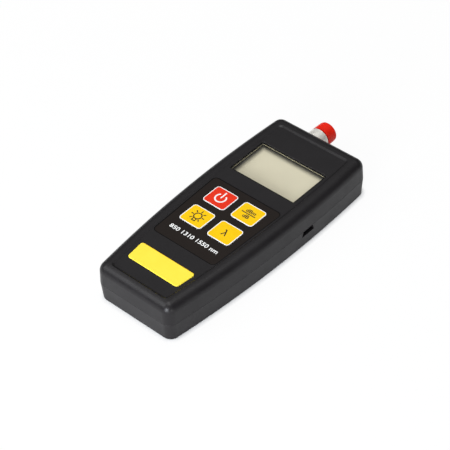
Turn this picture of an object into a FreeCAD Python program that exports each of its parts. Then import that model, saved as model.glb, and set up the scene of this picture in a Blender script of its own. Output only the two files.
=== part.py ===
"""Handheld optical power meter: casing, screen, keypad, board, cell and capped fibre port.

Frame: +X to the right of the face, +Y to the fibre port, +Z up out of the face. The meter
lies on its back. The origin is the middle of the casing, on the back face. Millimetres.
"""
import FreeCAD, Part
import os
import re
from math import asin, cos, pi, sin

import Sketcher
from FreeCAD import Vector

# Driving dimensions, one cell each in the sheet.
SIZES = {
    # casing outline, widest at the parting plane, with bowed sides that close in at both ends
    "casing_length": 135.0,
    "casing_width": 58.0,
    "casing_height": 21.0,
    "side_arc_radius": 648.0,
    "widest_y": 22.5,
    "corner_radius": 4.7,
    "parting_z": 9.7,
    "upper_draft": 2.1,
    "lower_draft": 3.0,
    "top_edge_radius": 4.6,
    "back_edge_radius": 0.6,
    "parting_round": 0.12,
    "wall": 2.2,
    "roof": 2.0,
    "floor_thickness": 2.0,
    "lip_width": 1.0,
    "lip_height": 1.2,
    "lip_gap": 0.15,
    # sunk face with a sloping rim
    "face_depth": 0.6,
    "face_side_inset": 6.1,
    "face_top_inset": 6.5,
    "face_foot_inset": 4.4,
    "face_slope": 1.1,
    "face_step": 0.05,
    "face_corner": 1.2,
    # display window and what sits under it
    "window_width": 40.0,
    "window_height": 24.6,
    "window_end_gap": 21.6,
    "window_corner": 1.0,
    "window_edge": 0.2,
    "lens_gap": 0.15,
    "lens_sunk": 0.35,
    "lens_bevel": 0.2,
    "lens_flange": 2.1,
    "lens_flange_depth": 0.9,
    "glass_margin": 3.1,
    "glass_depth": 2.4,
    "glass_air": 0.3,
    "frame_wall": 1.8,
    "frame_gap": 0.2,
    "guide_margin": 1.4,
    "guide_depth": 2.4,
    "zebra_width": 1.0,
    "zebra_gap": 0.1,
    "zebra_edge": 0.3,
    # keypad sheet, sunk in its own pocket
    "sheet_top_width": 42.2,
    "sheet_foot_width": 38.4,
    "sheet_length": 46.1,
    "sheet_corner": 2.5,
    "sheet_thickness": 0.5,
    "sheet_sunk": 0.1,
    "sheet_gap": 0.15,
    # four keys on a two by two grid
    "key_width": 13.3,
    "key_height": 12.0,
    "key_corner": 1.7,
    "key_pitch_x": 17.4,
    "key_pitch_y": 16.3,
    "key_grid_rise": 4.8,
    "key_gap": 0.2,
    "key_proud": 0.1,
    "key_flange": 0.7,
    "key_flange_depth": 0.5,
    "key_flange_gap": 0.1,
    "key_travel": 0.4,
    "switch_side": 6.2,
    "switch_height": 3.6,
    "stem_diameter": 3.4,
    "stem_gap": 0.1,
    "stem_rise": 1.5,
    "stem_seat": 1.1,
    "stem_floor_gap": 0.1,
    # domed name plate
    "label_top_width": 33.2,
    "label_foot_width": 30.7,
    "label_length": 11.2,
    "label_end_gap": 13.5,
    "label_corner": 1.5,
    "label_depth": 0.7,
    "label_sunk": 0.4,
    "label_gap": 0.1,
    "label_edge": 0.3,
    # circuit board on four posts
    "board_inset": 3.2,
    "board_foot_inset": 14.5,
    "board_thickness": 1.6,
    "board_post_diameter": 5.0,
    "board_screw_edge": 4.2,
    "board_screw_frame_gap": 5.7,
    "board_screw_diameter": 1.8,
    "board_screw_length": 5.0,
    "board_screw_head": 3.6,
    "board_screw_head_height": 1.2,
    "screw_gap": 0.1,
    "drive_span": 2.4,
    "drive_width": 0.6,
    "drive_depth": 0.8,
    # case screws from the back
    "post_diameter": 6.4,
    "post_inset_x": 6.6,
    "post_inset_y": 7.6,
    "case_screw_diameter": 2.3,
    "case_screw_length": 11.0,
    "case_screw_head": 4.6,
    "case_screw_head_height": 1.8,
    "counterbore_gap": 0.3,
    "counterbore_depth": 3.0,
    "clearance_hole_gap": 0.25,
    # flat cell taped to the floor
    "cell_width": 34.0,
    "cell_length": 50.0,
    "cell_depth": 6.0,
    "cell_corner": 2.0,
    "cell_edge": 0.8,
    "cell_foot_gap": 9.0,
    "tape_depth": 0.3,
    "tape_margin": 3.0,
    "rib_gap": 0.3,
    "rib_width": 1.0,
    "rib_height": 3.0,
    "contact_block_width": 10.0,
    "contact_block_depth": 3.6,
    "contact_block_drop": 4.5,
    "contact_pitch": 3.0,
    "contact_width": 1.2,
    "contact_depth": 0.3,
    "contact_drop": 3.2,
    # USB socket hanging under the board, and its slot in the side wall
    "slot_end_gap": 46.25,
    "slot_width": 8.6,
    "slot_top_width": 6.7,
    "slot_height": 3.3,
    "socket_width": 7.8,
    "socket_top_width": 6.2,
    "socket_height": 2.8,
    "socket_length": 7.0,
    "socket_wall": 0.3,
    "socket_sunk": 1.8,
    "socket_bore": 5.5,
    "tongue_width": 4.0,
    "tongue_height": 0.7,
    "tongue_reach": 4.2,
    # fibre port, its axis along Y in the parting plane
    "port_x": -8.3,
    "port_flange_diameter": 15.0,
    "port_flange_depth": 2.1,
    "port_flange_gap": 0.1,
    "port_shank_diameter": 9.0,
    "port_hole_gap": 0.2,
    "port_rear_length": 8.0,
    "port_thread_diameter": 8.0,
    "port_thread_length": 5.3,
    "port_thread_bore": 6.4,
    "port_thread_bore_depth": 5.6,
    "port_key_width": 2.2,
    "port_key_depth": 2.2,
    "ring_wall": 1.0,
    "ring_length": 8.0,
    "ring_bevel": 0.4,
    "sleeve_diameter": 3.2,
    "sleeve_bore": 2.5,
    "sleeve_length": 19.0,
    "sleeve_gap": 0.05,
    "sleeve_short": 1.3,
    "light_bore": 1.8,
    "detector_can": 4.7,
    "detector_can_length": 2.7,
    "detector_base": 5.4,
    "detector_base_depth": 0.5,
    "detector_gap": 0.15,
    "detector_air": 0.9,
    "detector_board_side": 13.0,
    "detector_board_depth": 1.2,
    # push-on dust cap
    "cap_gap": 0.2,
    "cap_length": 6.5,
    "cap_mouth_wall": 1.45,
    "cap_tip_wall": 1.15,
    "cap_end_wall": 1.0,
    "cap_bore_gap": 0.2,
    "cap_step": 0.12,
    "cap_step_length": 1.1,
    "cap_round": 0.7,
    # chips
    "processor_side": 10.0,
    "processor_depth": 1.4,
    "processor_foot_gap": 17.0,
    "amplifier_length": 6.0,
    "amplifier_width": 5.0,
    "amplifier_depth": 1.5,
    "amplifier_end_gap": 9.0,
    "charger_side": 4.0,
    "charger_depth": 1.0,
    "charger_x": 13.0,
}

# Heights that several pieces share, as formulas over the cells.
FACE_Z = "(casing_height - face_depth)"
CEILING_Z = "(casing_height - face_depth - roof)"
BOARD_TOP_Z = "(parting_z + board_thickness)"
GLASS_TOP_Z = "(casing_height - face_depth - roof - lens_flange_depth - glass_air)"
POCKET_Z = "(casing_height - face_depth - sheet_thickness - sheet_sunk)"
KEY_TOP_Z = "(casing_height - face_depth - sheet_sunk + key_proud)"
KEY_FOOT_Z = "(casing_height - face_depth - roof - key_flange_gap - key_flange_depth)"
STEM_TOP_Z = "(parting_z + board_thickness + switch_height + stem_rise)"

# Lengths along the fibre axis, from the middle of the casing.
END_Y = "casing_length / 2"
FLANGE_Y = "(casing_length / 2 - wall - port_flange_gap)"
PORT_REAR_Y = "(casing_length / 2 - wall - port_flange_gap - port_flange_depth - port_rear_length)"
THREAD_Y = "(casing_length / 2 + ring_length)"
THREAD_END_Y = "(casing_length / 2 + ring_length + port_thread_length)"
DETECTOR_Y = f"({PORT_REAR_Y} - detector_air)"
BOARD_END_Y = f"({DETECTOR_Y} - detector_board_depth)"
BOARD_FOOT_Y = "(board_foot_inset - casing_length / 2)"

# Middles of the pieces on the face and behind it: the window and the USB slot are set out from
# the port end, the label and the cell from the foot end, and the keypad lies between.
WINDOW_Y = "(casing_length / 2 - window_end_gap - window_height / 2)"
LABEL_Y = "(label_end_gap + label_length / 2 - casing_length / 2)"
SHEET_Y = "((label_end_gap + label_length - window_end_gap - window_height) / 2)"
KEY_GRID_Y = f"({SHEET_Y} + key_grid_rise)"
SLOT_Y = "(casing_length / 2 - slot_end_gap)"
CELL_Y = f"({BOARD_FOOT_Y} + cell_foot_gap + cell_length / 2)"
FRAME_FOOT_Y = f"({WINDOW_Y} - window_height / 2 - glass_margin - frame_gap - frame_wall)"

EPSILON = 1e-4

doc = FreeCAD.newDocument("optical_power_meter")


def make_sheet():
    """Puts every driving dimension into a cell of its own, under its own alias."""
    sheet = doc.addObject("Spreadsheet::Sheet", "Sizes")
    for row, (name, value) in enumerate(SIZES.items(), start=1):
        sheet.set(f"A{row}", name)
        sheet.set(f"B{row}", str(value))
        sheet.setAlias(f"B{row}", name)
    doc.recompute()


def bind(target, path, formula):
    """Ties one property to a formula over the sheet's cells."""
    in_sheet = re.sub(r"[a-z_]\w+", lambda word: "Sizes." + word.group()
                      if word.group() in SIZES else word.group(), formula)
    target.setExpression(path, in_sheet)


def make_body(label, x="0", y="0", z="0"):
    """An empty body, moved to where its own drawing has its origin."""
    body = doc.addObject("PartDesign::Body", label)
    body.Label = label
    for axis, formula in (("x", x), ("y", y), ("z", z)):
        if formula != "0":
            bind(body, f"Placement.Base.{axis}", formula)
    return body


def origin_part(body, role):
    """One of the body's own origin planes or axes."""
    return next(part for part in body.Origin.OriginFeatures if part.Role == role)


def make_sketch(body, name, role="XY_Plane", offset="0"):
    """A sketch on one of the body's origin planes, shifted along the plane's normal."""
    sketch = body.newObject("Sketcher::SketchObject", name)
    sketch.AttachmentSupport = (origin_part(body, role), [""])
    sketch.MapMode = "FlatFace"
    if offset != "0":
        bind(sketch, "AttachmentOffset.Base.z", offset)
    return sketch


def hold(sketch, kind, geometry, spot, start, formula):
    """A distance from the sketch's origin to one point, driven by a formula."""
    index = sketch.addConstraint(Sketcher.Constraint(kind, -1, 1, geometry, spot, start))
    bind(sketch, f"Constraints[{index}]", formula)


def draw_loop(sketch, points):
    """A closed outline of straight lines, each corner held by two formulas."""
    count = len(points)
    start = [Vector(9 * cos(2 * pi * i / count), 9 * sin(2 * pi * i / count), 0) for i in range(count)]
    first = sketch.GeometryCount
    for i in range(count):
        sketch.addGeometry(Part.LineSegment(start[i], start[(i + 1) % count]))
    for i, (x, y) in enumerate(points):
        following = first + (i + 1) % count
        sketch.addConstraint(Sketcher.Constraint("Coincident", first + i, 2, following, 1))
        hold(sketch, "DistanceX", first + i, 1, start[i].x, x)
        hold(sketch, "DistanceY", first + i, 1, start[i].y, y)


def draw_circle(sketch, x, y, diameter):
    """A circle held by its centre and its diameter."""
    index = sketch.addGeometry(Part.Circle(Vector(1, 1, 0), Vector(0, 0, 1), 1))
    size = sketch.addConstraint(Sketcher.Constraint("Diameter", index, 2))
    bind(sketch, f"Constraints[{size}]", diameter)
    hold(sketch, "DistanceX", index, 3, 1, x)
    hold(sketch, "DistanceY", index, 3, 1, y)


def rectangle(x, y, width, height):
    """The corners of a rectangle about a middle point."""
    return [(f"{x} - ({width}) / 2", f"{y} - ({height}) / 2"),
            (f"{x} + ({width}) / 2", f"{y} - ({height}) / 2"),
            (f"{x} + ({width}) / 2", f"{y} + ({height}) / 2"),
            (f"{x} - ({width}) / 2", f"{y} + ({height}) / 2")]


def trapezoid(y, top, foot, length):
    """The corners of a plate that is wider at the top, about a point on the Y axis."""
    return [(f"-({foot}) / 2", f"{y} - ({length}) / 2"),
            (f"({foot}) / 2", f"{y} - ({length}) / 2"),
            (f"({top}) / 2", f"{y} + ({length}) / 2"),
            (f"-({top}) / 2", f"{y} + ({length}) / 2")]


def half_width(y):
    """Half the casing's width at the parting plane, at one place along its length."""
    return (f"(sqrt(side_arc_radius^2 - ({y} - widest_y)^2)"
            f" - side_arc_radius + casing_width / 2)")


def casing_outline(body, name, z, side, top=None, foot=None):
    """The casing's outline, two straight ends and two bowed sides, drawn in by three insets."""
    top = side if top is None else top
    foot = side if foot is None else foot
    radius = SIZES["side_arc_radius"]
    reach = SIZES["casing_length"] / 2
    centre_x = radius - SIZES["casing_width"] / 2
    centre_y = SIZES["widest_y"]
    low = asin((-reach - centre_y) / radius)
    high = asin((reach - centre_y) / radius)
    sketch = make_sketch(body, name, offset=z)
    right = Part.Circle(Vector(-centre_x, centre_y, 0), Vector(0, 0, 1), radius)
    left = Part.Circle(Vector(centre_x, centre_y, 0), Vector(0, 0, 1), radius)
    corner = [right.value(low), right.value(high), left.value(pi - high), left.value(pi - low)]
    sketch.addGeometry(Part.ArcOfCircle(right, low, high))
    sketch.addGeometry(Part.LineSegment(corner[1], corner[2]))
    sketch.addGeometry(Part.ArcOfCircle(left, pi - high, pi - low))
    sketch.addGeometry(Part.LineSegment(corner[3], corner[0]))
    for i in range(4):
        sketch.addConstraint(Sketcher.Constraint("Coincident", i, 2, (i + 1) % 4, 1))
    sketch.addConstraint(Sketcher.Constraint("Horizontal", 1))
    sketch.addConstraint(Sketcher.Constraint("Horizontal", 3))
    sketch.addConstraint(Sketcher.Constraint("Equal", 0, 2))
    size = sketch.addConstraint(Sketcher.Constraint("Radius", 0, radius))
    bind(sketch, f"Constraints[{size}]", f"side_arc_radius - ({side})")
    hold(sketch, "DistanceX", 0, 3, -centre_x, "casing_width / 2 - side_arc_radius")
    hold(sketch, "DistanceY", 0, 3, centre_y, "widest_y")
    hold(sketch, "DistanceX", 2, 3, centre_x, "side_arc_radius - casing_width / 2")
    hold(sketch, "DistanceY", 2, 3, centre_y, "widest_y")
    hold(sketch, "DistanceY", 1, 1, reach, f"casing_length / 2 - ({top})")
    hold(sketch, "DistanceY", 3, 1, -reach, f"({foot}) - casing_length / 2")
    return sketch


def add_prism(body, kind, sketch, length=None, upward=True, taper=None):
    """A pad or a pocket of a sketch, upward or downward; with no length, right through."""
    feature = body.newObject(f"PartDesign::{kind}", f"{sketch.Name}_{kind.lower()}")
    feature.Profile = sketch
    feature.Reversed = upward if kind == "Pocket" else not upward
    if length is None:
        feature.Type = "ThroughAll"
    else:
        bind(feature, "Length", length)
    if taper is not None:
        bind(feature, "TaperAngle", taper)
    doc.recompute()
    return feature


def pad(body, sketch, length, upward=True, taper=None):
    return add_prism(body, "Pad", sketch, length, upward, taper)


def pocket(body, sketch, length=None, upward=True):
    """A pocket that has to take something away."""
    before = body.Shape.Volume
    feature = add_prism(body, "Pocket", sketch, length, upward)
    if body.Shape.Volume > before - EPSILON:
        raise RuntimeError(f"{feature.Name} cuts nothing")
    return feature


def revolve(body, sketch, kind="Revolution"):
    """A turned shape about the body's own Y axis."""
    feature = body.newObject(f"PartDesign::{kind}", f"{sketch.Name}_turned")
    feature.Profile = sketch
    feature.ReferenceAxis = (origin_part(body, "Y_Axis"), [""])
    feature.Angle = 360
    doc.recompute()
    return feature


def turned_profile(body, name, points):
    """A half section for turning: each point is a diameter and a place along Y."""
    sketch = make_sketch(body, name)
    draw_loop(sketch, [(f"({diameter}) / 2", y) for diameter, y in points])
    return sketch


def edge_key(edge):
    """A mark that tells whether an edge was there before a step."""
    middle = edge.valueAt((edge.FirstParameter + edge.LastParameter) / 2)
    return tuple(round(number, 3) for number in (*middle, edge.Length))


def is_upright(edge):
    box = edge.BoundBox
    return box.ZLength > 0.05 and box.ZLength > 3 * max(box.XLength, box.YLength)


def is_level_at(z):
    """A test for edges that lie flat at one height."""
    def wanted(edge):
        low, high = edge.ParameterRange
        spots = [edge.valueAt(low + share * (high - low)).z for share in (0.0, 0.5, 1.0)]
        return all(abs(spot - z) < 0.01 for spot in spots)
    return wanted


def top_of(shape):
    return max(corner.Z for corner in shape.Vertexes)


def foot_of(shape):
    return min(corner.Z for corner in shape.Vertexes)


def dress(body, kind, name, size, wanted, before=None):
    """A fillet or a chamfer on the edges that pass a test and weren't in an earlier shape."""
    known = {edge_key(edge) for edge in before.Edges} if before else set()
    shape = body.Shape
    edges = [f"Edge{i}" for i, edge in enumerate(shape.Edges, start=1)
             if wanted(edge) and edge_key(edge) not in known]
    if not edges:
        raise RuntimeError(f"{body.Label} {name} finds no edge")
    base = body.Tip
    feature = body.newObject(f"PartDesign::{kind}", name)
    feature.Base = (base, edges)
    bind(feature, "Radius" if kind == "Fillet" else "Size", size)
    doc.recompute()
    return feature


def rounded_pad(body, sketch, length, corner, upward=True, taper=None):
    """A pad with its upright corners rounded."""
    pad(body, sketch, length, upward, taper)
    return dress(body, "Fillet", f"{sketch.Name}_corners", corner, is_upright)


def casing_block(name, z, height, inset):
    """A solid block with the casing's outline, drawn in and with its corners rounded to match."""
    block = make_body(name)
    rounded_pad(block, casing_outline(block, f"{name}_outline", z, inset), height,
                f"corner_radius - ({inset})")
    return block


def combine(body, kind, tool):
    """Joins a tool body to a body, or cuts it away, and compares the volume."""
    before = body.Shape.Volume
    feature = body.newObject("PartDesign::Boolean", f"{tool.Name}_{kind.lower()}")
    feature.Type = kind
    feature.setObjects([tool])
    doc.recompute()
    if abs(body.Shape.Volume - before) < EPSILON:
        raise RuntimeError(f"{feature.Name} changes nothing")
    return feature


def plate(label, z, height, corners, corner=None):
    """A flat piece: an outline of straight lines, with its upright corners rounded or left."""
    body = make_body(label)
    outline = make_sketch(body, f"{label}_outline", offset=z)
    draw_loop(outline, corners)
    if corner:
        rounded_pad(body, outline, height, corner)
    else:
        pad(body, outline, height)
    return body


def cut_plate(body, label, z, height, corners, corner):
    """Cuts a flat block with rounded corners out of a body."""
    return combine(body, "Cut", plate(label, z, height, corners, corner))


def key_places():
    """The four keys: name, and the two formulas of the key's middle."""
    right, left = "key_pitch_x / 2", "-key_pitch_x / 2"
    upper, lower = f"({KEY_GRID_Y} + key_pitch_y / 2)", f"({KEY_GRID_Y} - key_pitch_y / 2)"
    return (("power", left, upper), ("unit", right, upper),
            ("backlight", left, lower), ("wavelength", right, lower))


def case_screw_places():
    """The four case screws, as far in from the bowed sides as from each other's ends."""
    places = []
    for end in ("(casing_length / 2 - post_inset_y)", "(post_inset_y - casing_length / 2)"):
        reach = f"({half_width(end)} - post_inset_x)"
        places += [(f"-{reach}", end), (reach, end)]
    return places


def board_screw_places():
    """The four board screws: two near the board's foot, two just below the display frame."""
    places = []
    for row in (f"({BOARD_FOOT_Y} + board_screw_edge)", f"({FRAME_FOOT_Y} - board_screw_frame_gap)"):
        reach = f"({half_width(row)} - board_inset - board_screw_edge)"
        places += [(f"-{reach}", row), (reach, row)]
    return places


def slot_outline(grow, height, width, top_width, top_z):
    """The USB shape seen from the side: level at the top and the foot, with leaning sides."""
    return [(f"{SLOT_Y} - ({width}) / 2 - {grow}", f"{top_z} - ({height}) - {grow}"),
            (f"{SLOT_Y} + ({width}) / 2 + {grow}", f"{top_z} - ({height}) - {grow}"),
            (f"{SLOT_Y} + ({top_width}) / 2 + {grow}", f"{top_z} + {grow}"),
            (f"{SLOT_Y} - ({top_width}) / 2 - {grow}", f"{top_z} + {grow}")]


def cut_port_hole(body):
    """The round hole for the fibre port through the end wall, half of it in each shell."""
    hole = make_sketch(body, f"{body.Label}_port_hole", "XZ_Plane")
    draw_circle(hole, "port_x", "parting_z", "port_shank_diameter + 2 * port_hole_gap")
    before = body.Shape.Volume
    feature = body.newObject("PartDesign::Pocket", f"{body.Label}_port_cut")
    feature.Profile = hole
    feature.Type = "ThroughAll"
    doc.recompute()
    if body.Shape.Volume > before - EPSILON:
        raise RuntimeError(f"{body.Label} has no port hole")


def make_top_shell():
    """The upper shell: a sunk face in a sloping rim, the window, four key holes and two pockets."""
    body = make_body("top_shell")
    outline = casing_outline(body, "upper_outline", "parting_z", "0")
    rounded_pad(body, outline, "casing_height - parting_z", "corner_radius", taper="-upper_draft")
    dress(body, "Fillet", "upper_edge", "top_edge_radius", is_level_at(top_of(body.Shape)))
    dress(body, "Fillet", "upper_parting", "parting_round", is_level_at(foot_of(body.Shape)))

    combine(body, "Cut", casing_block("upper_rabbet", "parting_z", "lip_height + lip_gap",
                                      "wall - lip_width - lip_gap"))
    combine(body, "Cut", casing_block("upper_cavity", "parting_z",
                                      f"{CEILING_Z} - parting_z", "wall"))

    before = body.Shape
    face = make_body("face")
    rounded_pad(face, casing_outline(face, "face_outline", FACE_Z, "face_side_inset + face_slope",
                                     "face_top_inset + face_slope", "face_foot_inset + face_slope"),
                "face_depth", "face_corner")
    combine(body, "Cut", face)
    rim = dress(body, "Chamfer", "face_rim", "face_slope",
                is_level_at(top_of(body.Shape)), before)
    rim.ChamferType = "Two distances"
    bind(rim, "Size2", "face_depth - face_step")

    before = body.Shape
    cut_plate(body, "window", CEILING_Z, "roof",
              rectangle("0", WINDOW_Y, "window_width", "window_height"), "window_corner")
    face_z = SIZES["casing_height"] - SIZES["face_depth"]
    dress(body, "Fillet", "window_rounding", "window_edge", is_level_at(face_z), before)

    cut_plate(body, "sheet_pocket", POCKET_Z, "sheet_thickness + sheet_sunk",
              trapezoid(SHEET_Y, "sheet_top_width", "sheet_foot_width", "sheet_length"),
              "sheet_corner")
    for name, x, y in key_places():
        cut_plate(body, f"{name}_hole", CEILING_Z, "roof",
                  rectangle(x, y, "key_width + 2 * key_gap", "key_height + 2 * key_gap"),
                  "key_corner + key_gap")
    cut_plate(body, "label_pocket", f"{FACE_Z} - label_sunk", "label_sunk",
              trapezoid(LABEL_Y, "label_top_width + 2 * label_gap",
                        "label_foot_width + 2 * label_gap", "label_length + 2 * label_gap"),
              "label_corner + label_gap")

    posts = make_sketch(body, "upper_posts", offset="parting_z")
    for x, y in case_screw_places():
        draw_circle(posts, x, y, "post_diameter")
    pad(body, posts, f"{CEILING_Z} - parting_z")
    pilots = make_sketch(body, "pilots", offset="parting_z")
    for x, y in case_screw_places():
        draw_circle(pilots, x, y, "case_screw_diameter + 2 * screw_gap")
    pocket(body, pilots, f"{CEILING_Z} - parting_z - screw_gap")

    cut_port_hole(body)
    return body


def make_bottom_shell():
    """The lower shell: floor, screw posts, board posts, cell ribs, lip, USB slot."""
    body = make_body("bottom_shell")
    outline = casing_outline(body, "lower_outline", "parting_z", "0")
    rounded_pad(body, outline, "parting_z", "corner_radius", upward=False, taper="-lower_draft")
    dress(body, "Fillet", "back_edge", "back_edge_radius", is_level_at(foot_of(body.Shape)))
    dress(body, "Fillet", "lower_parting", "parting_round", is_level_at(top_of(body.Shape)))

    combine(body, "Fuse", casing_block("lip", "parting_z", "lip_height", "wall - lip_width"))
    combine(body, "Cut", casing_block("lower_cavity", "floor_thickness",
                                      "parting_z + lip_height - floor_thickness", "wall"))

    posts = make_sketch(body, "lower_posts", offset="floor_thickness")
    for x, y in case_screw_places():
        draw_circle(posts, x, y, "post_diameter")
    pad(body, posts, "parting_z - floor_thickness")
    holes = make_sketch(body, "screw_holes")
    for x, y in case_screw_places():
        draw_circle(holes, x, y, "case_screw_diameter + 2 * clearance_hole_gap")
    pocket(body, holes, "parting_z")
    counterbores = make_sketch(body, "counterbores")
    for x, y in case_screw_places():
        draw_circle(counterbores, x, y, "case_screw_head + 2 * counterbore_gap")
    pocket(body, counterbores, "counterbore_depth")

    board_posts = make_sketch(body, "board_posts", offset="floor_thickness")
    for x, y in board_screw_places():
        draw_circle(board_posts, x, y, "board_post_diameter")
    pad(body, board_posts, "parting_z - floor_thickness")
    board_pilots = make_sketch(body, "board_pilots", offset="parting_z")
    for x, y in board_screw_places():
        draw_circle(board_pilots, x, y, "board_screw_diameter + 2 * screw_gap")
    pocket(body, board_pilots, "board_screw_length - board_thickness + screw_gap", upward=False)

    ribs = make_sketch(body, "cell_ribs", offset="floor_thickness")
    outer = "2 * rib_gap + 2 * rib_width"
    draw_loop(ribs, rectangle("0", CELL_Y, f"cell_width + {outer}", f"cell_length + {outer}"))
    draw_loop(ribs, rectangle("0", CELL_Y, "cell_width + 2 * rib_gap", "cell_length + 2 * rib_gap"))
    pad(body, ribs, "rib_height")

    slot = make_sketch(body, "usb_slot", "YZ_Plane")
    draw_loop(slot, slot_outline("0", "slot_height", "slot_width", "slot_top_width", "parting_z"))
    before = body.Shape.Volume
    cut = body.newObject("PartDesign::Pocket", "usb_slot_cut")
    cut.Profile = slot
    cut.Reversed = True
    cut.Type = "ThroughAll"
    doc.recompute()
    if body.Shape.Volume > before - EPSILON:
        raise RuntimeError("the USB slot cuts nothing")
    cut_port_hole(body)
    return body


def make_window_lens():
    """A clear window with a wider flange that is bonded under the roof."""
    flange = "2 * lens_flange"
    body = plate("window_lens", f"{CEILING_Z} - lens_flange_depth", "lens_flange_depth",
                 rectangle("0", WINDOW_Y, f"window_width + {flange}", f"window_height + {flange}"),
                 "window_corner")
    before = body.Shape
    face = make_sketch(body, "lens_face", offset=CEILING_Z)
    draw_loop(face, rectangle("0", WINDOW_Y, "window_width - 2 * lens_gap",
                              "window_height - 2 * lens_gap"))
    pad(body, face, "roof - lens_sunk")
    dress(body, "Fillet", "lens_face_corners", "window_corner - lens_gap", is_upright, before)
    dress(body, "Chamfer", "lens_face_bevel", "lens_bevel", is_level_at(top_of(body.Shape)))
    return body


def glass_size(grow):
    """The display glass's width and height, and how much wider another piece is drawn."""
    return (f"(window_width + 2 * glass_margin + 2 * ({grow}))",
            f"(window_height + 2 * glass_margin + 2 * ({grow}))")


def zebra_outline(grow):
    """The rubber connector along the glass's lower edge."""
    middle = (f"({WINDOW_Y} - window_height / 2 - glass_margin + frame_gap"
              " + zebra_edge + zebra_gap + zebra_width / 2)")
    return rectangle("0", middle, f"window_width + 2 * ({grow})", f"zebra_width + 2 * ({grow})")


def make_display():
    """Display glass in a frame on the board, with its light guide and rubber connector."""
    glass_z = f"({GLASS_TOP_Z} - glass_depth)"
    glass = plate("lcd_glass", glass_z, "glass_depth", rectangle("0", WINDOW_Y, *glass_size("0")))

    frame = plate("lcd_frame", BOARD_TOP_Z, f"{GLASS_TOP_Z} - {BOARD_TOP_Z}",
                  rectangle("0", WINDOW_Y, *glass_size("frame_gap + frame_wall")), "frame_wall")
    seat = make_sketch(frame, "glass_seat", offset=glass_z)
    draw_loop(seat, rectangle("0", WINDOW_Y, *glass_size("frame_gap")))
    pocket(frame, seat, "glass_depth")
    well = make_sketch(frame, "light_well", offset=BOARD_TOP_Z)
    draw_loop(well, rectangle("0", WINDOW_Y, "window_width + 2 * guide_margin + 2 * frame_gap",
                              "window_height + 2 * guide_margin + 2 * frame_gap"))
    pocket(frame, well, f"{glass_z} - {BOARD_TOP_Z}")
    groove = make_sketch(frame, "zebra_groove", offset=BOARD_TOP_Z)
    draw_loop(groove, zebra_outline("zebra_gap"))
    pocket(frame, groove, f"{glass_z} - {BOARD_TOP_Z}")

    guide = plate("light_guide", BOARD_TOP_Z, "guide_depth",
                  rectangle("0", WINDOW_Y, "window_width + 2 * guide_margin",
                            "window_height + 2 * guide_margin"))
    zebra = plate("lcd_connector", BOARD_TOP_Z, f"{glass_z} - {BOARD_TOP_Z}", zebra_outline("0"))
    return [glass, frame, guide, zebra]


def make_keypad_sheet():
    """The thin printed sheet around the keys, bonded into its pocket in the face."""
    body = plate("keypad_sheet", POCKET_Z, "sheet_thickness",
                 trapezoid(SHEET_Y, "sheet_top_width - 2 * sheet_gap",
                           "sheet_foot_width - 2 * sheet_gap", "sheet_length - 2 * sheet_gap"),
                 "sheet_corner - sheet_gap")
    for name, x, y in key_places():
        cut_plate(body, f"{name}_opening", POCKET_Z, "sheet_thickness",
                  rectangle(x, y, "key_width + 2 * key_gap", "key_height + 2 * key_gap"),
                  "key_corner + key_gap")
    return body


def make_key(name, x, y):
    """One key: a cap, a flange that keeps it under the roof, and a post down to the switch."""
    flange = "2 * key_flange"
    body = plate(f"{name}_key", KEY_FOOT_Z, "key_flange_depth",
                 rectangle(x, y, f"key_width + {flange}", f"key_height + {flange}"),
                 "key_corner")
    before = body.Shape
    cap = make_sketch(body, f"{name}_cap", offset=f"{KEY_FOOT_Z} + key_flange_depth")
    draw_loop(cap, rectangle(x, y, "key_width", "key_height"))
    pad(body, cap, f"{KEY_TOP_Z} - {KEY_FOOT_Z} - key_flange_depth")
    dress(body, "Fillet", f"{name}_cap_corners", "key_corner", is_upright, before)
    post = make_sketch(body, f"{name}_post", offset=STEM_TOP_Z)
    draw_circle(post, x, y, "stem_diameter")
    pad(body, post, f"{KEY_FOOT_Z} - {STEM_TOP_Z}")
    return body


def make_switch(name, x, y):
    """The small switch under one key: its square body, and the stem that the key pushes down."""
    case = plate(f"{name}_switch", BOARD_TOP_Z, "switch_height",
                 rectangle(x, y, "switch_side", "switch_side"))
    bore = make_sketch(case, f"{name}_bore", offset=f"{BOARD_TOP_Z} + switch_height")
    draw_circle(bore, x, y, "stem_diameter + 2 * stem_gap")
    pocket(case, bore, "stem_seat + key_travel + stem_floor_gap", upward=False)
    stem = make_body(f"{name}_switch_stem")
    round_stem = make_sketch(stem, f"{name}_stem_outline", offset=STEM_TOP_Z)
    draw_circle(round_stem, x, y, "stem_diameter")
    pad(stem, round_stem, "stem_rise + stem_seat", upward=False)
    return [case, stem]


def make_name_label():
    """A domed resin plate, seated in its shallow pocket below the keys."""
    body = plate("name_label", f"{FACE_Z} - label_sunk", "label_depth",
                 trapezoid(LABEL_Y, "label_top_width", "label_foot_width", "label_length"),
                 "label_corner")
    dress(body, "Fillet", "label_dome", "label_edge", is_level_at(top_of(body.Shape)))
    return body


def make_board():
    """The circuit board, following the casing's bowed sides, on the four board posts."""
    body = make_body("circuit_board")
    outline = casing_outline(body, "board_outline", "parting_z", "board_inset",
                             f"casing_length / 2 - {BOARD_END_Y}", "board_foot_inset")
    rounded_pad(body, outline, "board_thickness", "wall")
    holes = make_sketch(body, "board_holes", offset="parting_z")
    for x, y in board_screw_places():
        draw_circle(holes, x, y, "board_screw_diameter + 2 * screw_gap")
    pocket(body, holes, "board_thickness")
    return body


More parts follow.
